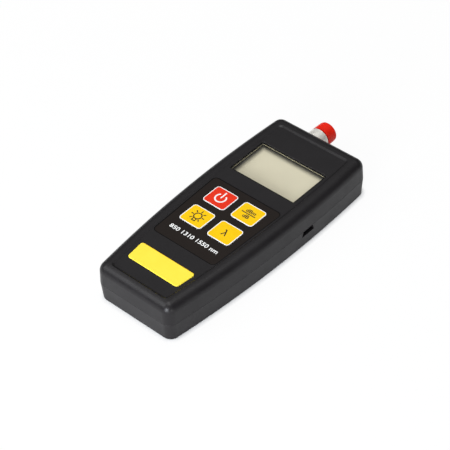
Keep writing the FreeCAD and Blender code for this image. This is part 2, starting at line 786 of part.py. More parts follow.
def cross_outline(x, y):
    """The twelve corners of a screw's cross recess."""
    span, width = "drive_span / 2", "drive_width / 2"
    corner = [(f"+ {span}", f"+ {width}"), (f"+ {width}", f"+ {width}"), (f"+ {width}", f"+ {span}")]
    corner += [(f"- {width}", f"+ {span}"), (f"- {width}", f"+ {width}"), (f"- {span}", f"+ {width}")]
    corner += [(f"- {span}", f"- {width}"), (f"- {width}", f"- {width}"), (f"- {width}", f"- {span}")]
    corner += [(f"+ {width}", f"- {span}"), (f"+ {width}", f"- {width}"), (f"+ {span}", f"- {width}")]
    return [(f"{x} {across}", f"{y} {along}") for across, along in corner]


def make_screws(label, places, seat_z, shank, head, head_height, length, head_up):
    """A set of identical screws in one node, each a head and a shank turned as one piece."""
    body = make_body(label)
    shanks = make_sketch(body, f"{label}_shanks", offset=seat_z)
    heads = make_sketch(body, f"{label}_heads", offset=seat_z)
    crown_z = f"{seat_z} {'+' if head_up else '-'} {head_height}"
    drives = make_sketch(body, f"{label}_drives", offset=crown_z)
    for x, y in places:
        draw_circle(shanks, x, y, shank)
        draw_circle(heads, x, y, head)
        draw_loop(drives, cross_outline(x, y))
    pad(body, heads, head_height, upward=head_up)
    pad(body, shanks, length, upward=not head_up)
    pocket(body, drives, "drive_depth", upward=not head_up)
    return body


def drawn_block(label, x, y, z, width, length, height):
    """A rectangular piece, placed by its middle and its underside."""
    box = doc.addObject("Part::Box", label)
    bind(box, "Length", width)
    bind(box, "Width", length)
    bind(box, "Height", height)
    bind(box, "Placement.Base.x", f"{x} - ({width}) / 2")
    bind(box, "Placement.Base.y", f"{y} - ({length}) / 2")
    bind(box, "Placement.Base.z", z)
    doc.recompute()
    return box


def make_cell():
    """The flat rechargeable cell, the tape under it, and its spring contacts."""
    cell = plate("battery_cell", "floor_thickness + tape_depth", "cell_depth",
                 rectangle("0", CELL_Y, "cell_width", "cell_length"), "cell_corner")
    for name, level in (("upper", top_of(cell.Shape)), ("lower", foot_of(cell.Shape))):
        dress(cell, "Fillet", f"cell_{name}_edge", "cell_edge", is_level_at(level))
    tape = drawn_block("battery_tape", "0", CELL_Y, "floor_thickness",
                       "cell_width - 2 * tape_margin", "cell_length - 2 * tape_margin", "tape_depth")
    end = f"({CELL_Y} + cell_length / 2)"
    block = drawn_block("battery_contact_block", "0", f"({end} + contact_depth + contact_block_depth / 2)",
                        "parting_z - contact_block_drop", "contact_block_width",
                        "contact_block_depth", "contact_block_drop")
    contacts = make_body("battery_contacts")
    strips = make_sketch(contacts, "contact_strips", offset="parting_z - contact_block_drop")
    for place in ("-contact_pitch", "0 * contact_pitch", "contact_pitch"):
        draw_loop(strips, rectangle(place, f"({end} + contact_depth / 2)", "contact_width", "contact_depth"))
    pad(contacts, strips, "contact_drop")
    return [cell, tape, block, contacts]


def make_usb_socket():
    """The socket's folded metal shell under the board, and the tongue inside it."""
    shell = make_body("usb_socket")
    mouth_x = "casing_width / 2 - socket_sunk"
    outer = make_sketch(shell, "socket_outline", "YZ_Plane", f"{mouth_x} - socket_length")
    sizes = ("socket_height", "socket_width", "socket_top_width")
    draw_loop(outer, slot_outline("0", *sizes, "parting_z"))
    pad(shell, outer, "socket_length")
    inner = make_sketch(shell, "socket_mouth", "YZ_Plane", f"{mouth_x} - socket_bore")
    draw_loop(inner, slot_outline("(0 - socket_wall)", *sizes, "parting_z"))
    pocket(shell, inner, "socket_bore")
    tongue = drawn_block("usb_tongue",
                         "(casing_width / 2 - socket_sunk - socket_bore + tongue_reach / 2)", SLOT_Y,
                         "parting_z - socket_height / 2 - tongue_height / 2",
                         "tongue_reach", "tongue_width", "tongue_height")
    return [shell, tongue]


def make_port():
    """The fibre port: turned receptacle, ring nut, ceramic sleeve, and the detector behind it."""
    place = ("port_x", "0", "parting_z")
    receptacle = make_body("port_receptacle", *place)
    seat_y = f"({PORT_REAR_Y} + detector_can_length)"
    bore_end_y = f"({THREAD_END_Y} - port_thread_bore_depth)"
    outside = turned_profile(receptacle, "receptacle_section", [
        ("detector_base + 2 * detector_gap", PORT_REAR_Y),
        ("port_shank_diameter", PORT_REAR_Y),
        ("port_shank_diameter", f"{FLANGE_Y} - port_flange_depth"),
        ("port_flange_diameter", f"{FLANGE_Y} - port_flange_depth"),
        ("port_flange_diameter", FLANGE_Y),
        ("port_shank_diameter", FLANGE_Y),
        ("port_shank_diameter", THREAD_Y),
        ("port_thread_diameter", THREAD_Y),
        ("port_thread_diameter", THREAD_END_Y),
        ("port_thread_bore", THREAD_END_Y),
        ("port_thread_bore", bore_end_y),
        ("sleeve_diameter + 2 * sleeve_gap", bore_end_y),
        ("sleeve_diameter + 2 * sleeve_gap", f"{THREAD_END_Y} - sleeve_short - sleeve_length"),
        ("light_bore", f"{THREAD_END_Y} - sleeve_short - sleeve_length"),
        ("light_bore", seat_y),
        ("detector_base + 2 * detector_gap", seat_y)])
    revolve(receptacle, outside)
    key_slot = make_sketch(receptacle, "key_slot")
    draw_loop(key_slot, rectangle("0", f"({THREAD_END_Y} - port_key_depth / 2)",
                                  "port_key_width", "port_key_depth"))
    pocket(receptacle, key_slot, "port_thread_diameter")

    ring = make_body("port_ring_nut", *place)
    ring_bore = "port_shank_diameter + 2 * screw_gap"
    ring_outside = f"{ring_bore} + 2 * ring_wall"
    revolve(ring, turned_profile(ring, "ring_section", [
        (ring_bore, END_Y),
        (ring_outside, END_Y),
        (ring_outside, f"{THREAD_Y} - ring_bevel"),
        (f"{ring_outside} - 2 * ring_bevel", THREAD_Y),
        (ring_bore, THREAD_Y)]))

    sleeve = make_body("alignment_sleeve", *place)
    sleeve_end_y = f"({THREAD_END_Y} - sleeve_short)"
    revolve(sleeve, turned_profile(sleeve, "sleeve_section", [
        ("sleeve_bore", f"{sleeve_end_y} - sleeve_length"),
        ("sleeve_diameter", f"{sleeve_end_y} - sleeve_length"),
        ("sleeve_diameter", sleeve_end_y),
        ("sleeve_bore", sleeve_end_y)]))

    detector = make_body("photodiode", *place)
    revolve(detector, turned_profile(detector, "can_section", [
        ("0", DETECTOR_Y),
        ("detector_base", DETECTOR_Y),
        ("detector_base", f"{DETECTOR_Y} + detector_base_depth"),
        ("detector_can", f"{DETECTOR_Y} + detector_base_depth"),
        ("detector_can", f"{DETECTOR_Y} + detector_can_length"),
        ("0", f"{DETECTOR_Y} + detector_can_length")]))

    board = drawn_block("detector_board", "port_x", f"({DETECTOR_Y} - detector_board_depth / 2)",
                        "parting_z - detector_board_side / 2", "detector_board_side",
                        "detector_board_depth", "detector_board_side")
    return [receptacle, ring, sleeve, detector, board]


def make_dust_cap():
    """The soft cap over the thread: a tapered cup with a small step and a rounded end."""
    body = make_body("dust_cap", "port_x", "0", "parting_z")
    mouth_y = f"({THREAD_Y} + cap_gap)"
    end_y = f"({THREAD_Y} + cap_gap + cap_length)"
    bore = "port_thread_diameter + 2 * cap_bore_gap"
    tip = f"{bore} + 2 * cap_tip_wall"
    revolve(body, turned_profile(body, "cap_section", [
        ("0", end_y),
        ("0", f"{end_y} - cap_end_wall"),
        (bore, f"{end_y} - cap_end_wall"),
        (bore, mouth_y),
        (f"{bore} + 2 * cap_mouth_wall", mouth_y),
        (f"{tip} + 2 * cap_step", f"{end_y} - cap_step_length"),
        (tip, f"{end_y} - cap_step_length"),
        (tip, end_y)]))
    last = max(corner.Y for corner in body.Shape.Vertexes)
    dress(body, "Fillet", "cap_rounding", "cap_round",
          lambda edge: edge.valueAt(edge.FirstParameter).y > last - 0.01)
    return body


def make_chips():
    """The three chips: two sit under the board, the processor on top of it."""
    processor = drawn_block("processor_chip", "0", f"({BOARD_FOOT_Y} + processor_foot_gap)", BOARD_TOP_Z,
                            "processor_side", "processor_side", "processor_depth")
    amplifier = drawn_block("amplifier_chip", "port_x", f"({BOARD_END_Y} - amplifier_end_gap)",
                            "parting_z - amplifier_depth",
                            "amplifier_width", "amplifier_length", "amplifier_depth")
    charger = drawn_block("charger_chip", "charger_x", SLOT_Y, "parting_z - charger_depth",
                          "charger_side", "charger_side", "charger_depth")
    return [processor, amplifier, charger]


def make_all():
    """Every sub-part, in the order in which the meter goes together."""
    make_sheet()
    pieces = [make_bottom_shell()]
    pieces += make_cell()
    pieces += [make_board()]
    pieces += make_chips()
    pieces += make_usb_socket()
    pieces += make_port()
    pieces += make_display()
    for name, x, y in key_places():
        pieces += make_switch(name, x, y)
    pieces += [make_screws("board_screws", board_screw_places(), BOARD_TOP_Z,
                           "board_screw_diameter", "board_screw_head", "board_screw_head_height",
                           "board_screw_length", head_up=True)]
    pieces += [make_top_shell(), make_window_lens()]
    for name, x, y in key_places():
        pieces += [make_key(name, x, y)]
    pieces += [make_keypad_sheet(), make_name_label(), make_dust_cap()]
    pieces += [make_screws("case_screws", case_screw_places(), "counterbore_depth",
                           "case_screw_diameter", "case_screw_head", "case_screw_head_height",
                           "case_screw_length", head_up=False)]
    return pieces


SUBPARTS = make_all()


def check_document():
    """Stops on any failed object, and on any sub-part that isn't a valid solid."""
    doc.recompute()
    failed = [f"{item.Label}: {item.State}" for item in doc.Objects
              if "Invalid" in item.State or "Error" in item.State]
    failed += [f"{item.Label}: no valid shape" for item in SUBPARTS
               if item.Shape.isNull() or not item.Shape.isValid() or not item.Shape.Solids]
    if failed:
        raise RuntimeError("; ".join(failed))


def write_subparts():
    os.makedirs("parts", exist_ok=True)
    for item in SUBPARTS:
        item.Shape.exportStep(f"parts/{item.Label}.step")
        box = item.Shape.BoundBox
        print(f"{item.Label}: {len(item.Shape.Solids)} solids, {item.Shape.Volume:.1f} mm3, "
              f"x {box.XMin:.2f} {box.XMax:.2f}, y {box.YMin:.2f} {box.YMax:.2f}, "
              f"z {box.ZMin:.2f} {box.ZMax:.2f}")


check_document()
write_subparts()
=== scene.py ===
"""Looks, lights and camera for the optical power meter. Metres, in the CAD model's frame."""
from math import cos, pi, radians, sin, tau

import bmesh
import bpy
from mathutils import Matrix, Vector


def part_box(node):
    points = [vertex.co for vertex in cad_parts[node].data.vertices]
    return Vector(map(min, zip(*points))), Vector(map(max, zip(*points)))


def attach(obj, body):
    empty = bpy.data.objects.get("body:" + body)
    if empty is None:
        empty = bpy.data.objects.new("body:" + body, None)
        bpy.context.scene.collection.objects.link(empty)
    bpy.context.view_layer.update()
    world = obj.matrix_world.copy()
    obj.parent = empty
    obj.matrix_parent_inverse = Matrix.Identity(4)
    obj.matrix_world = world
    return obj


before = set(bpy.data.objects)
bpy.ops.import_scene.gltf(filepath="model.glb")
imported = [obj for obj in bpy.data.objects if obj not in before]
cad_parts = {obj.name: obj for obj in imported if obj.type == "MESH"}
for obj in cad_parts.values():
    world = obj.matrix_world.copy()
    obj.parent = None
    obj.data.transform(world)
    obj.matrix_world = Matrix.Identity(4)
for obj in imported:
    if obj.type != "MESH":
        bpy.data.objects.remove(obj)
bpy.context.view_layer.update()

MM = 0.001


# ---------------------------------------------------------------- shader helpers

def scaled(colour, factor):
    """A colour made darker or lighter."""
    return tuple(c * factor for c in colour)


def feed(tree, socket, value):
    """Links an output to a socket, or sets a plain value on it."""
    if isinstance(value, bpy.types.NodeSocket):
        tree.links.new(value, socket)
    else:
        socket.default_value = value


def joined(tree, operation, *values):
    """A Math node on outputs or numbers."""
    node = tree.nodes.new("ShaderNodeMath")
    node.operation = operation
    for socket, value in zip(node.inputs, values):
        feed(tree, socket, value)
    return node.outputs[0]


def blended(tree, share, first, second):
    """A Mix Shader node, which shows the second shader in a share of the light."""
    node = tree.nodes.new("ShaderNodeMixShader")
    for socket, value in zip(node.inputs, (share, first, second)):
        feed(tree, socket, value)
    return node.outputs[0]


class Nodes:
    """A material's node tree, with short calls for the nodes that most materials share."""

    def __init__(self, name):
        self.material = bpy.data.materials.new(name)
        self.material.use_nodes = True
        self.tree = self.material.node_tree
        self.shader = self.tree.nodes["Principled BSDF"]
        self.place = self.add("ShaderNodeTexCoord").outputs["Object"]

    def add(self, kind, **settings):
        node = self.tree.nodes.new(kind)
        for key, value in settings.items():
            setattr(node, key, value)
        return node

    def link(self, source, target):
        self.tree.links.new(source, target)

    def math(self, operation, *values):
        return joined(self.tree, operation, *values)

    def axes(self):
        """The X, Y and Z of the place on the model."""
        node = self.add("ShaderNodeSeparateXYZ")
        self.link(self.place, node.inputs[0])
        return node.outputs

    def offset(self, along, middle):
        """How far one coordinate lies from a number."""
        return self.math("ABSOLUTE", self.math("SUBTRACT", along, middle))

    def noise(self, size_mm, detail, rough=0.55, stretch=(1, 1, 1)):
        """Noise from 0 to 1 with features of about one size."""
        mapping = self.add("ShaderNodeMapping")
        mapping.inputs["Scale"].default_value = stretch
        self.link(self.place, mapping.inputs["Vector"])
        node = self.add("ShaderNodeTexNoise")
        node.inputs["Scale"].default_value = 1 / (size_mm * MM)
        node.inputs["Detail"].default_value = detail
        node.inputs["Roughness"].default_value = rough
        self.link(mapping.outputs["Vector"], node.inputs["Vector"])
        return node.outputs["Fac"]

    def spread(self, value, low, high, start=0.3, end=0.7):
        """Stretches one range of a value, by default that of a noise, onto another."""
        node = self.add("ShaderNodeMapRange")
        for key, number in zip(("From Min", "From Max", "To Min", "To Max"), (start, end, low, high)):
            node.inputs[key].default_value = number
        self.link(value, node.inputs["Value"])
        return node.outputs["Result"]

    def drift(self, size_mm, detail, low=0.0, high=1.0):
        """A number that drifts between two values over the surface."""
        return self.spread(self.noise(size_mm, detail), low, high)

    def mix(self, share, first, second):
        """A blend of two colours."""
        node = self.add("ShaderNodeMix", data_type="RGBA")
        self.link(share, node.inputs["Factor"])
        for socket, colour in ((node.inputs[6], first), (node.inputs[7], second)):
            feed(self.tree, socket, colour if isinstance(colour, bpy.types.NodeSocket) else (*colour, 1))
        return node.outputs[2]

    def bump(self, height, depth_mm, strength):
        node = self.add("ShaderNodeBump")
        node.inputs["Distance"].default_value = depth_mm * MM
        node.inputs["Strength"].default_value = strength
        self.link(height, node.inputs["Height"])
        return node.outputs["Normal"]

    def lets_lamps_through(self, tone):
        """Lets light from lamps pass, so that glass throws no dark shadow."""
        open_air = self.add("ShaderNodeBsdfTransparent")
        self.link(tone, open_air.inputs["Color"])
        shadow = self.add("ShaderNodeLightPath").outputs["Is Shadow Ray"]
        self.link(blended(self.tree, shadow, self.shader.outputs[0], open_air.outputs[0]),
                  self.tree.nodes["Material Output"].inputs["Surface"])

    def finish(self, colour, rough, normal=None, **plain):
        """Feeds the shader, and sets its other values by their names with _ for each space."""
        self.link(colour, self.shader.inputs["Base Color"])
        feed(self.tree, self.shader.inputs["Roughness"], rough)
        if normal is not None:
            self.link(normal, self.shader.inputs["Normal"])
        for key, value in plain.items():
            self.shader.inputs[key.replace("_", " ")].default_value = value
        return self.material


def moulded(name, dark, light, rough, grain_mm=0.35, grain_depth=0.02, spec=0.5):
    """Moulded plastic: a spark-eroded grain, and a slow drift of colour and of gloss."""
    n = Nodes(name)
    colour = n.mix(n.drift(9, 4), dark, light)
    fleck = n.mix(n.drift(grain_mm * 2.2, 3, 0, 0.6), colour, scaled(light, 1.35))
    gloss = n.drift(14, 3, rough - 0.05, rough + 0.06)
    grain = n.bump(n.noise(grain_mm, 2, 0.6), grain_depth, 0.8)
    return n.finish(fleck, gloss, grain, Specular_IOR_Level=spec)


def metal(name, colour, rough, stretch=(1, 1, 1), depth=0.003, metallic=1.0):
    """Plated metal with fine tool marks along one way, and a faint uneven tone."""
    n = Nodes(name)
    marks = n.noise(0.25, 3, 0.6, stretch)
    tone = n.mix(n.drift(3, 4), colour, scaled(colour, 0.86))
    gloss = n.spread(marks, rough * 0.75, rough * 1.35)
    return n.finish(tone, gloss, n.bump(marks, depth, 0.6), Metallic=metallic)


def satin(name, colour, rough, vary=0.12, size=4.0, depth=0.004, **plain):
    """A smooth skin, such as film, resin or ceramic, with a slight drift of tone and gloss."""
    n = Nodes(name)
    tone = n.mix(n.drift(size, 4), colour, scaled(colour, 1 - vary))
    gloss = n.drift(size * 0.4, 3, rough * 0.85, rough * 1.2)
    return n.finish(tone, gloss, n.bump(n.noise(0.5, 3), depth, 0.5), **plain)


# ---------------------------------------------------------------- materials of the CAD nodes

# The colour printed on a key, inside its white border.
FIELD_WIDTH, FIELD_HEIGHT, FIELD_CORNER = 12.5 * MM, 11.2 * MM, 1.2 * MM
BORDER_WHITE = (0.90, 0.90, 0.88)
YELLOW, RED = (0.90, 0.555, 0.001), (0.74, 0.030, 0.007)

# The label's yellow, the deeper amber of the painted shade along its far edge, and where one turns into the
# other.
LABEL_YELLOW, LABEL_YELLOW_LOW, LABEL_EDGE_SHADE = (0.94, 0.74, 0.060), (0.92, 0.71, 0.050), (0.86, 0.50, 0.01)
LABEL_SHADE_FROM, LABEL_SHADE_TO = -0.50 * MM, -0.30 * MM

# The window lens's flange and the corners of its raised middle.
LENS_FLANGE, LENS_CORNER = 2.25 * MM, 0.85 * MM

# Painted shade on the display: it is dark this far outside the lens's raised middle, and even this far inside
# it.
SHADE_FROM, SHADE_TO = -1.2 * MM, 3.2 * MM


def key_cap(name, colour, node):
    """A printed key: a field of colour with rounded corners inside a white border."""
    low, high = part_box(node)
    middle = (low + high) / 2
    n = Nodes(name)
    axes = n.axes()
    past = []
    for axis, size in ((0, FIELD_WIDTH), (1, FIELD_HEIGHT)):
        from_middle = n.offset(axes[axis], middle[axis])
        past.append(n.math("MAXIMUM", n.math("SUBTRACT", from_middle, size / 2 - FIELD_CORNER), 0.0))
    reach = n.math("SQRT", n.math("ADD", *(n.math("MULTIPLY", way, way) for way in past)))
    inside = n.math("LESS_THAN", reach, FIELD_CORNER)
    face = n.mix(inside, BORDER_WHITE, n.mix(n.drift(3, 4), colour, scaled(colour, 0.93)))
    return n.finish(face, n.drift(1.2, 3, 0.34, 0.44), n.bump(n.noise(0.3, 2), 0.003, 0.5),
                    Specular_IOR_Level=0.2)


def label_resin(name, node):
    """Yellow print under a dome of clear resin, with painted shade, a deeper amber, along its far edge."""
    n = Nodes(name)
    from_edge = n.math("SUBTRACT", n.axes()[1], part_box(node)[1].y)
    yellow = n.mix(n.drift(6, 4), LABEL_YELLOW, LABEL_YELLOW_LOW)
    tone = n.mix(n.spread(from_edge, 0, 1, LABEL_SHADE_FROM, LABEL_SHADE_TO), yellow, LABEL_EDGE_SHADE)
    return n.finish(tone, n.drift(2, 3, 0.30, 0.42), n.bump(n.noise(2.5, 2), 0.01, 0.3),
                    Specular_IOR_Level=0.25, Coat_Weight=0.15, Coat_Roughness=0.15)


def display(name, colour, painted_shade_colour):
    """The liquid crystal's even grey, with painted shade: a fade to dark near the window's sides that stands
    in for their shadow.
    """
    low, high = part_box("window_lens")
    middle = (low + high) / 2
    n = Nodes(name)
    axes = n.axes()
    inward = [n.math("SUBTRACT", (high[axis] - low[axis]) / 2 - LENS_FLANGE,
                     n.offset(axes[axis], middle[axis])) for axis in (0, 1)]
    fade = n.spread(n.math("MINIMUM", *inward), 0, 1, SHADE_FROM, SHADE_TO)
    fade.node.interpolation_type = "SMOOTHSTEP"
    even = n.mix(n.drift(12, 4), colour, scaled(colour, 0.97))
    return n.finish(n.mix(fade, painted_shade_colour, even), n.drift(4, 3, 0.45, 0.55), Specular_IOR_Level=0.15)


def clear(name, tint, ior, rough=0.02, coat=0.0):
    """Clear plastic or glass that lets lamp light through to what lies behind it."""
    n = Nodes(name)
    tone = n.mix(n.drift(8, 3), tint, scaled(tint, 0.985))
    n.finish(tone, rough, Transmission_Weight=1.0, IOR=ior,
             Coat_Weight=coat, Coat_Roughness=0.04, Coat_IOR=1.45)
    n.lets_lamps_through(tone)
    return n.material


shell = moulded("shell_plastic", (0.0068, 0.0060, 0.0066), (0.0090, 0.0080, 0.0088), 0.37, spec=0.26)
film = satin("keypad_film", (0.0100, 0.0062, 0.0045), 0.30, 0.15, 5.0, Specular_IOR_Level=0.2)
white_plastic = moulded("white_plastic", (0.74, 0.74, 0.72), (0.80, 0.80, 0.78), 0.5, 0.3, 0.01)
chip = moulded("chip_epoxy", (0.016, 0.016, 0.018), (0.022, 0.022, 0.024), 0.55, 0.2, 0.01)
board = satin("board_mask", (0.012, 0.12, 0.045), 0.35, 0.25, 2.0)
nickel = metal("nickel_plate", (0.96, 0.93, 0.86), 0.36, (1, 6, 1), metallic=0.35)
tin = metal("tin_plate", (0.66, 0.66, 0.67), 0.3, (1, 1, 5))
zinc = metal("zinc_plate", (0.42, 0.42, 0.44), 0.38)
gold = metal("gold_flash", (0.85, 0.62, 0.25), 0.3)
foil = metal("pouch_foil", (0.70, 0.71, 0.73), 0.32, (1, 1, 1), 0.01)
ceramic = satin("ground_ceramic", (0.86, 0.85, 0.81), 0.22, 0.05, 1.5)
tape = satin("foam_tape", (0.78, 0.78, 0.74), 0.7, 0.12, 0.8, 0.03)
vinyl = satin("red_vinyl", (0.90, 0.018, 0.004), 0.45, 0.10, 2.5, 0.012, Specular_IOR_Level=0.2)
stripes = satin("striped_rubber", (0.16, 0.16, 0.18), 0.6, 0.4, 0.4)
# The second colour is the display's painted shade near the window's sides.
crystal = display("crystal_surface", (0.57, 0.535, 0.42), (0.012, 0.0125, 0.010))

NODE_LOOKS = {
    "top_shell": shell, "bottom_shell": shell, "keypad_sheet": film,
    "window_lens": clear("window_acrylic", (0.99, 0.985, 0.96), 1.03, coat=0.7),
    "lcd_glass": crystal, "lcd_frame": white_plastic,
    "light_guide": clear("guide_acrylic", (0.96, 0.97, 0.96), 1.49, 0.08),
    "lcd_connector": stripes, "name_label": label_resin("label_resin", "name_label"),
    "power_key": key_cap("key_print_red", RED, "power_key"),
    "unit_key": key_cap("key_print_unit", YELLOW, "unit_key"),
    "backlight_key": key_cap("key_print_lamp", YELLOW, "backlight_key"),
    "wavelength_key": key_cap("key_print_wave", YELLOW, "wavelength_key"),
    "circuit_board": board, "detector_board": board,
    "processor_chip": chip, "amplifier_chip": chip, "charger_chip": chip, "usb_tongue": chip,
    "usb_socket": tin, "port_ring_nut": nickel, "port_receptacle": nickel,
    "photodiode": gold, "alignment_sleeve": ceramic, "dust_cap": vinyl,
    "battery_cell": foil, "battery_tape": tape, "battery_contact_block": white_plastic,
    "battery_contacts": gold, "board_screws": zinc, "case_screws": zinc,
}
for key in ("power", "unit", "backlight", "wavelength"):
    NODE_LOOKS[f"{key}_switch"] = chip
    NODE_LOOKS[f"{key}_switch_stem"] = white_plastic

for name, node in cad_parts.items():
    node.data.materials.clear()
    node.data.materials.append(NODE_LOOKS[name])


# ---------------------------------------------------------------- printed marks

def add_piece(name, mesh, look, body):
    """Shows a mesh as a piece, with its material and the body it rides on."""
    mesh.materials.clear()
    mesh.materials.append(look)
    piece = bpy.data.objects.new(name, mesh)
    bpy.context.collection.objects.link(piece)
    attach(piece, body)


def mesh_piece(name, build, look, body):
    """A new piece made in mesh code."""
    mesh = bpy.data.meshes.new(name)
    bm = bmesh.new()
    build(bm)
    bmesh.ops.recalc_face_normals(bm, faces=bm.faces)
    bm.to_mesh(mesh)
    bm.free()
    add_piece(name, mesh, look, body)


def skin(bm, rings, closed):
    """Joins rings of corners into a closed band, or into a rod with a face at each end."""
    following = rings[1:] + rings[:1] if closed else rings[1:]
    for one, two in zip(rings, following):
        for k in range(len(one)):
            after = (k + 1) % len(one)
            bm.faces.new((one[k], one[after], two[after], two[k]))
    if not closed:
        bm.faces.new(rings[0])
        bm.faces.new(rings[-1][::-1])


# Half the thickness of a printed mark, which stands this far proud of its face.
INK = 0.03 * MM


def slab(bm, outline, z):
    """A closed flat shape that stands a little proud of a face, from its outline."""
    foot = [bm.verts.new((x, y, z - INK)) for x, y in outline]
    top = [bm.verts.new((x, y, z + INK)) for x, y in outline]
    bm.faces.new(top)
    bm.faces.new(foot[::-1])
    for i in range(len(outline)):
        j = (i + 1) % len(outline)
        bm.faces.new((foot[i], foot[j], top[j], top[i]))


def arc_band(bm, centre, radius, width, start, end, z, steps=64):
    """A band along an arc, as one closed shape; a whole turn leaves a round hole."""
    whole = abs(end - start - tau) < 1e-6
    rings = []
    for i in range(steps if whole else steps + 1):
        angle = start + (end - start) * i / steps
        ways = [(radius + side * width / 2, height) for side, height in
                ((-1, z - INK), (1, z - INK), (1, z + INK), (-1, z + INK))]
        rings.append([bm.verts.new((centre[0] + r * cos(angle), centre[1] + r * sin(angle), h))
                      for r, h in ways])
    skin(bm, rings, whole)


def bar(bm, start, end, width, z, cap=6):
    """A straight stroke with round ends."""
    angle = (end - start).angle_signed(Vector((1, 0)))
    outline = []
    for point, turn in ((end, -pi / 2), (start, pi / 2)):
        for i in range(cap + 1):
            t = angle + turn + pi * i / cap
            outline.append((point.x + width / 2 * cos(t), point.y + width / 2 * sin(t)))
    slab(bm, outline, z)


def strokes(bm, origin, ends, width, z):
    """Bars between pairs of points, in millimetres from an origin."""
    for start, end in ends:
        bar(bm, origin + Vector(start) * MM, origin + Vector(end) * MM, width, z)


def key_top(name):
    """The middle of a key's top and its height."""
    low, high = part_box(f"{name}_key")
    return Vector(((low.x + high.x) / 2, (low.y + high.y) / 2)), high.z


ink_white = satin("white_ink", (0.88, 0.88, 0.86), 0.42, 0.05, 1.0)
ink_brown = satin("brown_ink", (0.022, 0.012, 0.003), 0.42, 0.2, 1.0)

# The power mark: a ring that is open at the top, and a bar.
POWER_RADIUS, POWER_STROKE, POWER_HALF_GAP = 2.74 * MM, 0.75 * MM, radians(38)
POWER_BAR = (((0, 0.3), (0, 4.1)),)

# The lamp: a round bulb with rays all round but at its foot, and a base of three strokes.
BULB_RISE, BULB_RADIUS, BULB_STROKE = 0.35 * MM, 1.95 * MM, 0.58 * MM
RAYS, RAY_START, RAY_END, RAY_STROKE = 8, 2.75 * MM, 3.75 * MM, 0.52 * MM
BASE_DROP = 3.5 * MM
BASE = (((-0.85, 1.5), (-0.85, 0)), ((-0.85, 0), (0.85, 0)), ((0.85, 0), (0.85, 1.5)))

# The sign for wavelength.
LAMBDA = (((-0.95, 1.75), (-0.45, 1.75)), ((-0.45, 1.75), (1.05, -1.75)), ((0.12, 0.42), (-1.1, -1.75)))
LAMBDA_STROKE = 0.58 * MM

# The line between the two units.
UNIT_LINE = (((-3.9, 0), (3.9, 0)),)
UNIT_STROKE = 0.5 * MM


def power_mark(bm):
    middle, z = key_top("power")
    arc_band(bm, middle, POWER_RADIUS, POWER_STROKE,
             pi / 2 + POWER_HALF_GAP, pi / 2 - POWER_HALF_GAP + tau, z)
    strokes(bm, middle, POWER_BAR, POWER_STROKE, z)


def lamp_mark(bm):
    middle, z = key_top("backlight")
    bulb = middle + Vector((0, BULB_RISE))
    arc_band(bm, bulb, BULB_RADIUS, BULB_STROKE, 0, tau, z)
    for i in range(RAYS):
        if i != RAYS // 2:
            angle = pi / 2 + i * tau / RAYS
            way = Vector((cos(angle), sin(angle)))
            bar(bm, bulb + way * RAY_START, bulb + way * RAY_END, RAY_STROKE, z)
    strokes(bm, bulb - Vector((0, BASE_DROP)), BASE, RAY_STROKE, z)


def wave_mark(bm):
    middle, z = key_top("wavelength")
    strokes(bm, middle, LAMBDA, LAMBDA_STROKE, z)


def unit_line(bm):
    middle, z = key_top("unit")
    strokes(bm, middle, UNIT_LINE, UNIT_STROKE, z)


mesh_piece("power_mark", power_mark, ink_white, "power_button")
mesh_piece("lamp_mark", lamp_mark, ink_brown, "backlight_button")
mesh_piece("wave_mark", wave_mark, ink_brown, "wavelength_button")
mesh_piece("unit_line", unit_line, ink_brown, "unit_button")

# A capital's height as a share of the font's size, and how much fatter the strokes are drawn.
CAPITAL, BOLD = 0.7, 0.06 * MM


def lettering(name, text, height, wide, middle, z, look, body):
    """Flat printed letters of a set width as a mesh, centred on a point, read from the foot."""
    curve = bpy.data.curves.new(name, "FONT")
    curve.body = text
    curve.align_x, curve.align_y = "CENTER", "CENTER"
    curve.size = height / CAPITAL
    curve.extrude = INK
    curve.offset = BOLD
    curve.resolution_u = 4
    maker = bpy.data.objects.new(f"{name}_curve", curve)
    bpy.context.collection.objects.link(maker)
    bpy.context.view_layer.update()
    mesh = bpy.data.meshes.new_from_object(maker)
    bpy.data.objects.remove(maker)
    mesh.name = name
    xs = [v.co.x for v in mesh.vertices]
    ys = [v.co.y for v in mesh.vertices]
    stretch = wide / (max(xs) - min(xs))
    centre = Vector(((max(xs) + min(xs)) / 2, (max(ys) + min(ys)) / 2, 0))
    mesh.transform(Matrix.Translation((middle[0], middle[1], z))
                   @ Matrix.Diagonal((stretch, 1, 1, 1)) @ Matrix.Translation(-centre))
    add_piece(name, mesh, look, body)


# The unit names: capitals' height, each name's width, the rise of one and the drop of the other.
UNIT_HEIGHT, UPPER_WIDTH, LOWER_WIDTH, UNIT_RISE, UPPER_SHIFT = (v * MM for v in (2.1, 5.6, 3.6, 1.9, 0.2))
# The printed line: capitals' height, width, and how far its middle lies from the sheet's foot.
PRINT_HEIGHT, PRINT_WIDTH, PRINT_RISE = 2.35 * MM, 29.5 * MM, 7.7 * MM

unit_middle, unit_z = key_top("unit")
for name, text, width, shift in (("unit_upper", "dBm", UPPER_WIDTH, (UPPER_SHIFT, UNIT_RISE)),
                                 ("unit_lower", "dB", LOWER_WIDTH, (0, -UNIT_RISE))):
    lettering(name, text, UNIT_HEIGHT, width, unit_middle + Vector(shift), unit_z,
              ink_brown, "unit_button")

sheet_low, sheet_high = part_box("keypad_sheet")
lettering("wavelength_print", "850 1310 1550 nm", PRINT_HEIGHT, PRINT_WIDTH,
          (0, sheet_low.y + PRINT_RISE), sheet_high.z, ink_white, "casing")


# ---------------------------------------------------------------- fine lines of painted shade and a painted glint round the sunk pieces

